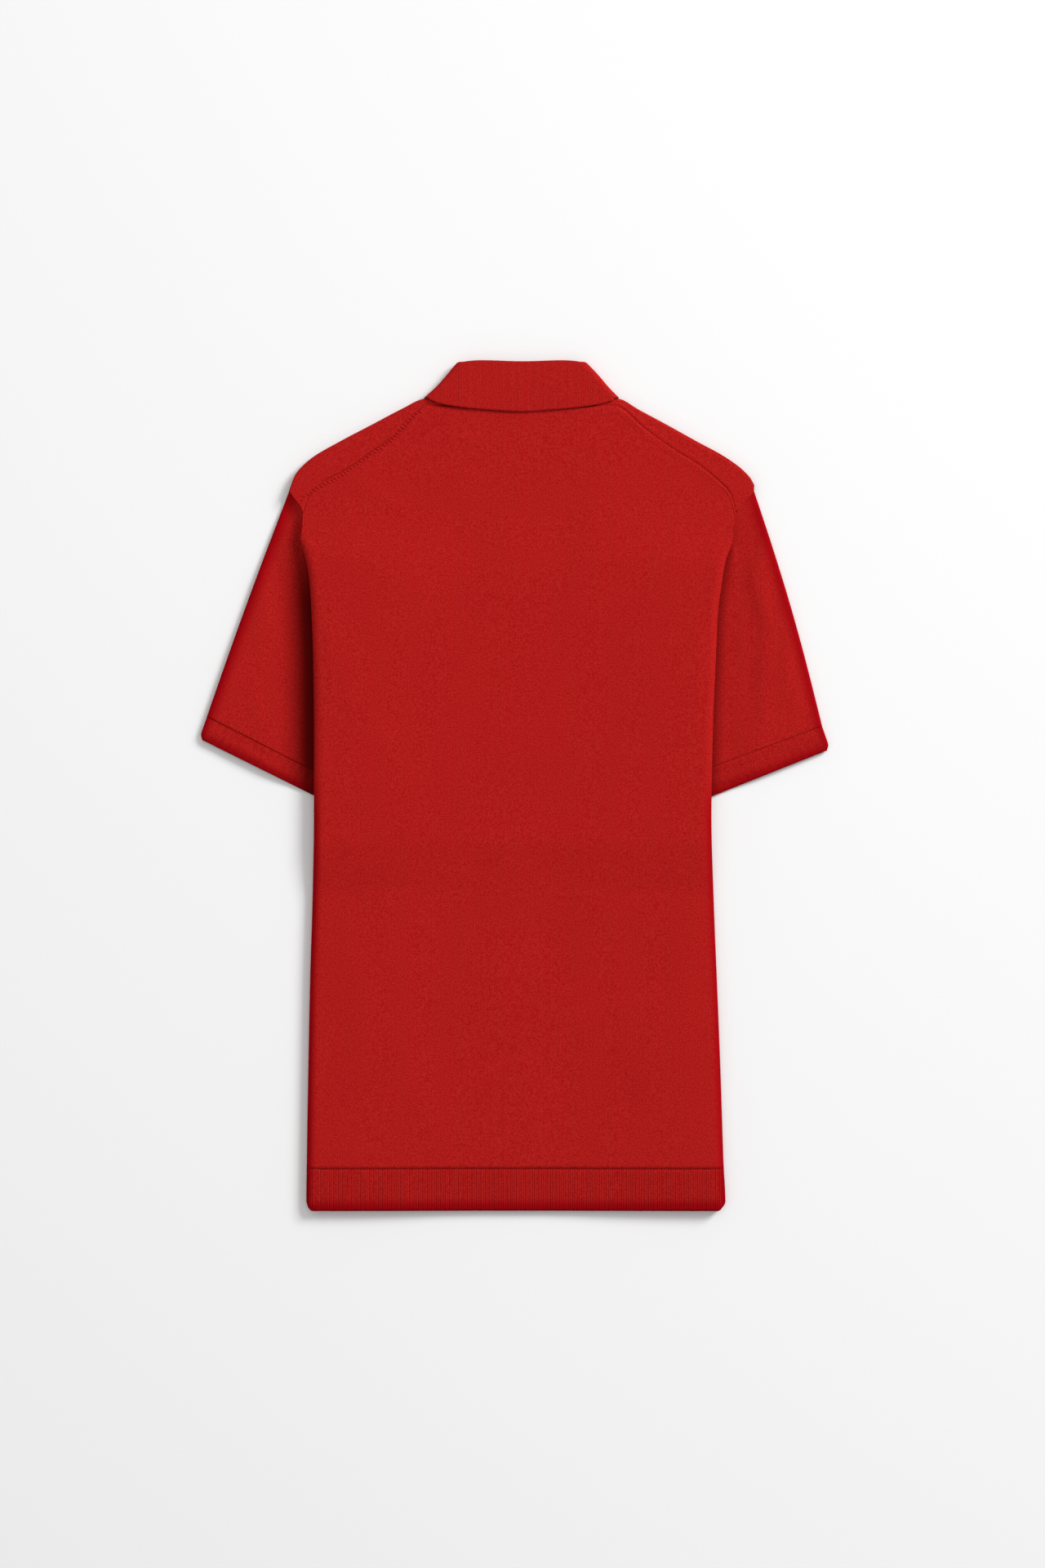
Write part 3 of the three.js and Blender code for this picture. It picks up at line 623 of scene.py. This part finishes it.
# sleeves
def armhole_point(side, share):
    """Start of the sleeve along the armhole, from the shoulder to the underarm."""
    y = mix(SHOULDER_POINT, UNDERARM, share)
    x, z, turn = side_fold(sign_of(side) * along(HALF_WIDTH, side, y), y, False)
    turned = turn / math.pi
    tucked = smooth(0, 0.1, share)
    away = LAYER * turned - SEAM_TUCK * tucked * (1 - turned)
    top = z - math.sin(turn / 2) * away - 0.5 * (1 - turned)
    low = mix(front_height(x, y), WALL / 2, turned)
    x += sign_of(side) * (math.cos(turn / 2) * away - CORNER_LAP[0] * (1 - tucked))
    return x, y + CORNER_LAP[1] * (1 - tucked), top, max(WALL / 2, min(low, top - TUBE_LEAST))


def sleeve_height(x, y):
    """Height of the top of a sleeve, away from its armhole."""
    beyond = abs(x) - along(BODY_EDGE, side_of(x), min(y, EDGE_LEVEL))
    relief = (crease_height(SLEEVE_CREASES, x, y) + ripple(x, y, *SLEEVE_RIPPLE)) * smooth(9, 26, beyond)
    return SLEEVE_REST + SLEEVE_PUFF * smooth(*SLEEVE_PUFF_REACH, beyond) + relief


def sleeve_place(side, share, down):
    """Top and bottom of a sleeve at a share of its width and of the way down to the cuff seam."""
    (outer_x, outer_y), (inner_x, inner_y) = CUFFS[side]["seam"]
    start_x, start_y, start_top, start_low = armhole_point(side, share)
    x = mix(start_x, sign_of(side) * mix(outer_x, inner_x, share), down)
    x += sign_of(side) * CUFFS[side]["bow"] * math.sin(math.pi * down) * (1 - share) ** 2
    y = mix(start_y, mix(outer_y, inner_y, share), down)
    near = (1 - min(1, down * SLEEVE_LENGTH / SLEEVE_DESCENT)) ** 2
    top = sleeve_height(x, y) + (start_top - sleeve_height(start_x, start_y)) * near
    return x, y, top, WALL / 2 + (start_low - WALL / 2) * near


def tube_ring(place, steps=64, turns=8, ribs=0):
    """Closed ring of a flattened tube from its top and bottom heights across it."""
    ring = []
    ends = []
    for share in (0, 1):
        _, _, top, low = place(share)
        half = (top - low) / 2
        ends.append(min(TUBE_LONGEST_END, half * half / TUBE_BLUNTNESS))
    first = (WALL / 2 + ends[0]) / TUBE_WIDTH
    last = 1 - (WALL / 2 + ends[1]) / TUBE_WIDTH

    def add(share, lift):
        x, y, top, low = place(share)
        rib = lift * CUFF_RIB_DEPTH * math.cos(2 * math.pi * share * ribs) if ribs else 0
        ring.append((x, y, mix(low, top, (1 + lift) / 2) + rib))

    for k in range(steps + 1):
        add(mix(first, last, k / steps), 1)
    for k in range(1, turns):
        turn = math.pi * k / turns
        add(last + ends[1] * math.sin(turn) / TUBE_WIDTH, math.cos(turn))
    for k in range(steps, -1, -1):
        add(mix(first, last, k / steps), -1)
    for k in range(1, turns):
        turn = math.pi * k / turns
        add(first - ends[0] * math.sin(turn) / TUBE_WIDTH, -math.cos(turn))
    return ring


def valley_shade_share(x, y):
    """How far a point of a sleeve is into the painted shadow of the valley where it runs in under the body.
    """
    side = side_of(x)
    edge = mix(along(BODY_EDGE, side, min(y, EDGE_LEVEL)), along(HALF_WIDTH, side, y), smooth(190, 222, y))
    beyond = abs(x) - edge
    valley = VALLEY_SHADE_PLACES[side]
    depth = valley["share"] * smooth(*valley["reach"], beyond) ** valley["power"]
    return depth * smooth(*valley["rise"], y)


def sleeve(side, material):
    """Sleeve as a flat tube, from the armhole to the cuff seam."""
    rows = []
    rim_shades = []
    for row in range(SLEEVE_ROWS + 1):
        ring = tube_ring(lambda share: sleeve_place(side, share, row / SLEEVE_ROWS))
        outer = max(abs(x) for x, y, z in ring)
        rows.append(ring)
        # painted shade along the outer edge of the sleeve
        rim_shades.append([smooth(9, 1.5, outer - abs(x)) for x, y, z in ring])
    # painted shadow of the body edge in the valley where the sleeve runs in under the body
    valley_shades = [[valley_shade_share(x, y) for x, y, z in row] for row in rows]
    name = "sleeve_cloth_" + side
    return make_piece(name, rows, material, SLEEVE_THICK, closed=True, rim_shades=rim_shades, valley_shades=valley_shades)


def cuff_place(side, share, down):
    """Top and bottom of a cuff at a share of its width and of its depth."""
    seam = CUFFS[side]["seam"]
    edge = CUFFS[side]["edge"]
    inset = max(0, down - CUFF_CORNER_START) ** 2 * CUFF_CORNER / TUBE_WIDTH
    at = mix(inset, 1, share)
    x = sign_of(side) * mix(mix(seam[0][0], seam[1][0], at), mix(edge[0][0], edge[1][0], at), down)
    y = mix(mix(seam[0][1], seam[1][1], at), mix(edge[0][1], edge[1][1], at), down)
    pinch = CUFF_PINCH * bell(down * CUFF_DEPTH, 1.2)
    drop = CUFF_DROP * smooth(0.5, 1, down) ** 2
    return x, y, max(sleeve_height(x, y) - pinch - drop, CUFF_LEAST), WALL / 2


def cuff(side, material):
    """Cuff as a flat tube of ribs, round at its lower corner."""
    (x0, y0), (x1, y1) = CUFFS[side]["seam"]
    ribs = math.hypot(x0 - x1, y0 - y1) / CUFF_RIB
    rows = []
    rim_shades = []
    for row in range(BAND_ROWS + 1):
        down = CUFF_START + (1 - CUFF_START) * row / BAND_ROWS
        ring = tube_ring(lambda share: cuff_place(side, share, down), steps=6 * round(ribs), ribs=ribs)
        outer = max(abs(x) for x, y, z in ring)
        rows.append(ring)
        # painted shade along the bottom and outer edge of the cuff
        rim_shades.append([max(smooth(0.45, 1, down), smooth(7, 1, outer - abs(x))) for x, y, z in ring])
    # painted shadow of the valley beside the body, a little weaker than on the sleeve
    valley_shades = [[0.8 * valley_shade_share(x, y) for x, y, z in row] for row in rows]
    return make_piece("cuff_cloth_" + side, rows, material, CUFF_THICK, closed=True, rim_shades=rim_shades, valley_shades=valley_shades)


# collar and placket
def collar_point(station, y, out):
    """Point of the collar at a station along it, out from its stand by up to the width of its fold."""
    part, side, value = station
    turn_width = COLLAR_TURN + out

    def half(which):
        return along(COLLAR_OUTLINE, which, y) - WALL / 2 - (COLLAR_FOLD - out)

    if part == "back":
        x = mix(turn_width - half("left"), half("right") - turn_width, value)
        return x, y, back_height(x, y) + out + 0.25 * out * ripple(x, y, 30, 1)
    end = half(side) - turn_width
    if part == "side":
        x = sign_of(side) * end
        top = back_height(x, y) + out
        low = front_height(x, y) - out
        x += sign_of(side) * turn_width * math.sin(value)
        return x, y, mix(low, top, (1 + math.cos(value)) / 2)
    slant = (COLLAR_POINT[0] - COLLAR_START) / (COLLAR_FRONT_FOLD - COLLAR_POINT[1])
    start = COLLAR_START + slant * max(0, COLLAR_FRONT_FOLD - y) * (out / COLLAR_FOLD)
    x = sign_of(side) * mix(start, end, value)
    return x, y, front_height(x, y) - out


def collar_heights(station):
    """Heights of the foot of the stand, the fold and the edge of the fall at a station."""
    part, _, value = station
    top = COLLAR_TOP - WALL / 2 - COLLAR_FOLD / 2
    if part == "side":
        return COLLAR_SIDE_STAND, top - COLLAR_SIDE_DROP, COLLAR_SIDE_FALL
    if part == "back":
        across = abs(value * 2 - 1)
        x = collar_point(station, BACK_NECK, COLLAR_FOLD)[0]
        middle, width, depth = COLLAR_DIP
        fold = top - COLLAR_SIDE_DROP * across ** 8 - depth * bell(x - middle, width)
        stand = BACK_NECK + STAND_OFF_NECK["back"] + STAND_SIDE_RISE["back"] * across ** 2
        return stand, fold, along(FALL_EDGE, "y", x)
    x = collar_point(station, BACK_NECK, 0)[0]
    rise = STAND_SIDE_RISE["front"] * smooth(0.8, 1, value)
    stand = min(COLLAR_SIDE_STAND, neckline(x) + STAND_OFF_NECK["front"] + rise)
    fold = mix(COLLAR_FRONT_FOLD, top - COLLAR_SIDE_DROP, value)
    return stand, fold, mix(COLLAR_POINT[1], COLLAR_SIDE_FALL, value ** 1.3)


def collar(material):
    """Collar with its stand and fall, from one point round the back to the other."""
    stations = [("front", "left", k / FRONT_CELLS) for k in range(FRONT_CELLS + 1)]
    stations += [("side", "left", math.pi * (1 - k / SIDE_CELLS)) for k in range(1, SIDE_CELLS)]
    stations += [("back", "", k / BACK_CELLS) for k in range(BACK_CELLS + 1)]
    stations += [("side", "right", math.pi * k / SIDE_CELLS) for k in range(1, SIDE_CELLS)]
    stations += [("front", "right", k / FRONT_CELLS) for k in range(FRONT_CELLS, -1, -1)]
    rows = []
    for station in stations:
        stand, fold, fall = collar_heights(station)
        row = [collar_point(station, mix(stand, fold, k / STAND_CELLS), 0) for k in range(STAND_CELLS + 1)]
        for k in range(1, TURN_CELLS):
            turn = math.pi * k / TURN_CELLS
            out = COLLAR_FOLD * (1 - math.cos(turn)) / 2
            row.append(collar_point(station, fold + COLLAR_FOLD / 2 * math.sin(turn), out))
        heights = [mix(fold, fall, k / FALL_CELLS) for k in range(FALL_CELLS + 1)]
        row += [collar_point(station, y, COLLAR_FOLD) for y in heights]
        rows.append(row)
    return make_piece("collar_cloth", rows, material, COLLAR_THICK)


def placket(name, lift, width, bottom, material):
    """Strip of the front opening, at a height above the front."""
    rows = []
    wide, high = PLACKET_CELLS
    across = [mix(-width / 2, width / 2, k / wide) for k in range(wide + 1)]
    for row in range(high + 1):
        y = mix(bottom, FRONT_NECK - 0.3, row / high)
        rows.append([(x, y, front_height(x, y) + lift) for x in across])
    return make_piece(name, rows, material, PANEL_THICK)


# meshes
def make_piece(name, rows, material, thickness, closed=False, keep=None, rim_shades=None, valley_shades=None):
    """Sheet on rows of points, with two point attributes of painted shade, for its rims and for the valleys
    beside the body, which say how far its colour is darkened at each point.
    """
    count = len(rows[0])
    points = [Vector(point) * MM for row in rows for point in row]
    faces = []
    for i in range(len(rows) - 1):
        for j in range(count if closed else count - 1):
            if keep and not keep(i, j):
                continue
            k = (j + 1) % count
            faces.append((i * count + j, i * count + k, (i + 1) * count + k, (i + 1) * count + j))
    used = sorted({k for face in faces for k in face})
    place = {k: n for n, k in enumerate(used)}
    faces = [[place[k] for k in face] for face in faces]
    piece = smooth_mesh(name, [points[k] for k in used], faces, material)
    cloth = piece.modifiers.new("cloth", "SOLIDIFY")
    cloth.thickness = thickness * MM
    cloth.offset = 0
    # painted shade: the rim and valley attributes say how far the colour is darkened
    for attribute, values in (("rim_shade", rim_shades), ("valley_shade", valley_shades)):
        layer = piece.data.attributes.new(attribute, "FLOAT", "POINT")
        if values:
            flat = [value for row in values for value in row]
            layer.data.foreach_set("value", [flat[k] for k in used])
    return piece


def smooth_mesh(name, points, faces, material):
    mesh = bpy.data.meshes.new(name)
    mesh.from_pydata(points, [], faces)
    mesh.update()
    mesh.materials.append(material)
    for polygon in mesh.polygons:
        polygon.use_smooth = True
    piece = bpy.data.objects.new(name, mesh)
    bpy.context.scene.collection.objects.link(piece)
    return piece


def mark_points(side, x, seam, steep):
    """Points of one mark, a small slanting ridge beside the seam."""
    sign = sign_of(side)
    norm = math.hypot(1, steep)
    lean = math.atan2(steep, 1) + MARK_LEAN
    middle = Vector((sign * x + MARK_OFF_SEAM * steep / norm, seam - MARK_OFF_SEAM / norm, 0))
    axis = Vector((sign * math.cos(lean), math.sin(lean), 0))
    cross = Vector((-axis.y, axis.x, 0))
    points = []
    long, wide = MARK_CELLS
    for i in range(long + 1):
        taper = math.sin(math.pi * i / long)
        length = MARKS[side]["half_length"] * math.cos(math.pi * i / long)
        for j in range(wide + 1):
            width = MARK_HALF_WIDTH * math.cos(math.pi * j / wide) * taper
            spot = middle + axis * length + cross * width
            ground = back_height(spot.x, spot.y) + top_relief(spot.x, spot.y) + MARK_BASE
            high = ground + MARKS[side]["lift"] * (math.sin(math.pi * j / wide) * taper)
            points.append(Vector((spot.x, spot.y, high)) * MM)
    return points


def fashion_marks(side, material):
    """Row of marks along the shoulder seam of one side, riding on the back."""
    points = []
    faces = []
    long, wide = MARK_CELLS
    x = MARK_REACH[0]
    while x < MARK_REACH[1]:
        out = sign_of(side) * x
        steep = (seam_line(sign_of(side) * (x + 1)) - seam_line(sign_of(side) * (x - 1))) / 2
        first = len(points)
        points += mark_points(side, x, seam_line(out), steep)
        for i in range(long):
            for j in range(wide):
                k = first + i * (wide + 1) + j
                faces.append((k, k + 1, k + wide + 2, k + wide + 1))
        x += MARKS[side]["spacing"] * (1 + 0.1 * random.uniform(-1, 1)) / math.hypot(1, steep)
    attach(smooth_mesh("fashion_marks_" + side, points, faces, material), "root")


# materials
def start_material(name, roughness):
    """New material with its node tree and its shader."""
    material = bpy.data.materials.new(name)
    material.use_nodes = True
    shader = material.node_tree.nodes["Principled BSDF"]
    shader.inputs["Roughness"].default_value = roughness
    return material, material.node_tree, shader


def add_node(tree, kind, values):
    """New node with values set on its inputs by name."""
    node = tree.nodes.new(kind)
    for name, value in values.items():
        node.inputs[name].default_value = value
    return node


def add_noise(tree, where, values):
    node = add_node(tree, "ShaderNodeTexNoise", values)
    if where:
        tree.links.new(where, node.inputs["Vector"])
    return node.outputs["Fac"]


def add_bands(tree, where, pitch, values):
    """Soft stripes across x, one to each pitch in millimetres."""
    node = add_node(tree, "ShaderNodeTexWave", {"Scale": math.pi / (10 * pitch * MM), **values})
    node.wave_type = "BANDS"
    node.bands_direction = "X"
    tree.links.new(where, node.inputs["Vector"])
    return node.outputs["Fac"]


def add_bump(tree, height, strength, distance, normal=None):
    """Normal bent by a height, with its full height in millimetres."""
    node = add_node(tree, "ShaderNodeBump", {"Strength": strength, "Distance": distance * MM})
    tree.links.new(height, node.inputs["Height"])
    if normal:
        tree.links.new(normal, node.inputs["Normal"])
    return node.outputs["Normal"]


def add_tint(tree, share, first, second):
    """Colour between two, by a share."""
    node = add_node(tree, "ShaderNodeMixRGB", {"Color1": (*first, 1), "Color2": (*second, 1)})
    tree.links.new(share, node.inputs["Fac"])
    return node.outputs["Color"]


def add_shade(tree, colour, share, least, most):
    """Colour times a factor, which runs from the least to the most by a share."""
    factor = add_node(tree, "ShaderNodeMapRange", {"To Min": least, "To Max": most})
    tree.links.new(share, factor.inputs["Value"])
    node = add_node(tree, "ShaderNodeMixRGB", {"Fac": 1})
    node.blend_type = "MULTIPLY"
    tree.links.new(colour, node.inputs["Color1"])
    tree.links.new(factor.outputs["Result"], node.inputs["Color2"])
    return node.outputs["Color"]


def add_painted_shade(tree, colour, attribute, dark):
    """Colour that turns dark as painted shade, where the point attribute of a sheet says so."""
    share = tree.nodes.new("ShaderNodeAttribute")
    share.attribute_name = attribute
    node = add_node(tree, "ShaderNodeMixRGB", {"Color2": (*dark, 1)})
    tree.links.new(share.outputs["Fac"], node.inputs["Fac"])
    tree.links.new(colour, node.inputs["Color1"])
    return node.outputs["Color"]


def knit_colour(tree, where, grain):
    """Red dye, speckled by the grain and slowly uneven, with painted shade that darkens it on the rims and in
    the valleys beside the body.
    """
    red, green, blue = RED
    spread = add_node(tree, "ShaderNodeMapRange", {"From Min": 0.3, "From Max": 0.7})
    tree.links.new(grain, spread.inputs["Value"])
    dull = (red * 0.87, green * 0.4, blue * 0.4)
    bright = (red * 1.13, green * 1.6, blue * 1.6)
    colour = add_tint(tree, spread.outputs["Result"], dull, bright)
    patches = add_noise(tree, where, {"Scale": PATCH_SCALE, "Detail": 3})
    colour = add_shade(tree, colour, patches, 0.955, 1.045)
    # painted shade: dark red on the rims, near black red in the sleeve valleys beside the body
    colour = add_painted_shade(tree, colour, "rim_shade", RIM_SHADE_RED)
    return add_painted_shade(tree, colour, "valley_shade", VALLEY_SHADE_RED)


def knit_material(name, rib_pitch=0, rib_depth=0, angle=0):
    """Matt knit: fine loops in columns, uneven dye, and ribs where there is a pitch, with painted shade in
    their furrows.
    """
    material, tree, shader = start_material(name, 0.93)
    shader.inputs["Specular IOR Level"].default_value = 0.02
    place = tree.nodes.new("ShaderNodeTexCoord")
    turned = add_node(tree, "ShaderNodeMapping", {"Rotation": (0, 0, angle)})
    tree.links.new(place.outputs["Object"], turned.inputs["Vector"])
    where = turned.outputs["Vector"]
    loops = add_bands(tree, where, LOOP_WIDTH, {"Distortion": 1.2, "Detail": 1, "Detail Scale": 3})
    grain = add_noise(tree, where, {"Scale": GRAIN_SCALE, "Detail": 2.5})
    colour = knit_colour(tree, where, grain)
    normal = add_bump(tree, loops, 0.35, 0.25)
    normal = add_bump(tree, grain, 0.15, 0.25, normal)
    if rib_pitch:
        ribs = add_bands(tree, where, rib_pitch, {"Phase Offset": math.pi / 2})
        normal = add_bump(tree, ribs, 0.9, rib_depth, normal)
        # painted shade: the colour is darker in the furrows between the ribs
        colour = add_shade(tree, colour, ribs, 0.93, 1.05)
    tree.links.new(colour, shader.inputs["Base Color"])
    tree.links.new(normal, shader.inputs["Normal"])
    return material


def button_material():
    """Satin plastic dyed to match, with a faint swirl."""
    material, tree, shader = start_material("button_plastic", 0.35)
    swirl = add_noise(tree, None, {"Scale": BUTTON_SCALE})
    dark = [value * 0.8 for value in BUTTON_RED]
    light = [value * 1.25 for value in BUTTON_RED]
    tree.links.new(add_tint(tree, swirl, dark, light), shader.inputs["Base Color"])
    return material


def floor_material():
    """Matt pale floor, very slightly uneven."""
    material, tree, shader = start_material("pale_floor", 0.9)
    shader.inputs["Specular IOR Level"].default_value = 0.1
    paper = add_noise(tree, None, {"Scale": PAPER_SCALE})
    dark, light = FLOOR_GREYS
    tree.links.new(add_tint(tree, paper, [dark] * 3, [light] * 3), shader.inputs["Base Color"])
    return material


def cuff_angle(side):
    """Turn that sets the ribs of a cuff across its edge."""
    (x0, y0), (x1, y1) = CUFFS[side]["edge"]
    return math.atan2(y0 - y1, x0 - x1) * -sign_of(side)


# the dressed part
def fit(piece, node):
    """Puts a piece on the body in place of its solid."""
    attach(piece, "root")
    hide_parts(node)


def dress_buttons():
    """Gives the buttons of the frame their plastic and a soft edge."""
    plastic = button_material()
    for number in (1, 2, 3):
        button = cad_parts["button_%d" % number]
        button.data.materials.clear()
        button.data.materials.append(plastic)
        bevel = button.modifiers.new("edge", "BEVEL")
        bevel.width = 0.25 * MM
        bevel.segments = 2


def dress():
    """Every piece of the shirt in its place, in place of its solid."""
    random.seed(7)
    knit = knit_material("fine_knit")
    hem_knit = knit_material("hem_rib", HEM_RIB, 0.3)
    collar_knit = knit_material("collar_knit", COLLAR_RIB, 0.12)
    cuff_knits = {side: knit_material("cuff_rib_" + side, CUFF_RIB, 0.15, cuff_angle(side)) for side in SIDES}
    plain = {"back_panel": back_panel(knit), "front_panel": front_panel(knit)}
    ribbed = {}
    for side in SIDES:
        plain["sleeve_" + side] = sleeve(side, knit)
    for side in SIDES:
        ribbed["cuff_" + side] = cuff(side, cuff_knits[side])
    ribbed["hem_band_back"] = hem_band("hem_cloth_back", False, hem_knit)
    ribbed["hem_band_front"] = hem_band("hem_cloth_front", True, hem_knit)
    ribbed["collar"] = collar(collar_knit)
    over = (0, PLACKET_WIDTH - 0.4, PLACKET_BOTTOM + 0.3)
    under = (LAYER, PLACKET_WIDTH - 2, PLACKET_BOTTOM + 2)
    plain["placket_over"] = placket("placket_cloth_over", *over, knit)
    plain["placket_under"] = placket("placket_cloth_under", *under, knit)
    for node, piece in plain.items():
        fit(piece, node)
    for node, piece in ribbed.items():
        fit(piece, node)
    for side in SIDES:
        fashion_marks(side, knit)
    dress_buttons()
    return {**plain, **ribbed}


def area_light(name, place, size, power):
    """Square light that faces the shirt."""
    data = bpy.data.lights.new(name, "AREA")
    data.shape = "SQUARE"
    data.size = size
    data.energy = power
    light = bpy.data.objects.new(name, data)
    light.location = place
    light.rotation_euler = (-Vector(place)).to_track_quat("-Z", "Y").to_euler()
    bpy.context.scene.collection.objects.link(light)


def studio():
    """Pale floor, two lights and an even white surround."""
    bpy.ops.mesh.primitive_plane_add(size=FLOOR_SIZE, location=(0, 0, FLOOR_LEVEL))
    floor = bpy.context.object
    floor.name = "floor"
    floor.data.materials.append(floor_material())
    for name, light in LIGHTS.items():
        area_light(name, **light)
    world = bpy.data.worlds.new("studio")
    bpy.context.scene.world = world
    world.use_nodes = True
    background = world.node_tree.nodes["Background"]
    background.inputs["Color"].default_value = (1, 1, 1, 1)
    background.inputs["Strength"].default_value = WORLD_LIGHT
    bpy.context.scene.view_settings.view_transform = "Standard"
    bpy.context.scene.view_settings.look = "None"


def camera():
    """Straight above the shirt with a long lens, which takes in VIEW_WIDTH at the cloth."""
    data = bpy.data.cameras.new("camera")
    data.sensor_fit = "HORIZONTAL"
    data.sensor_width = SENSOR
    data.lens = SENSOR * EYE[2] / VIEW_WIDTH
    data.clip_end = 100
    eye = bpy.data.objects.new("camera", data)
    eye.location = EYE
    bpy.context.scene.collection.objects.link(eye)
    bpy.context.scene.camera = eye


made = dress()
studio()
camera()
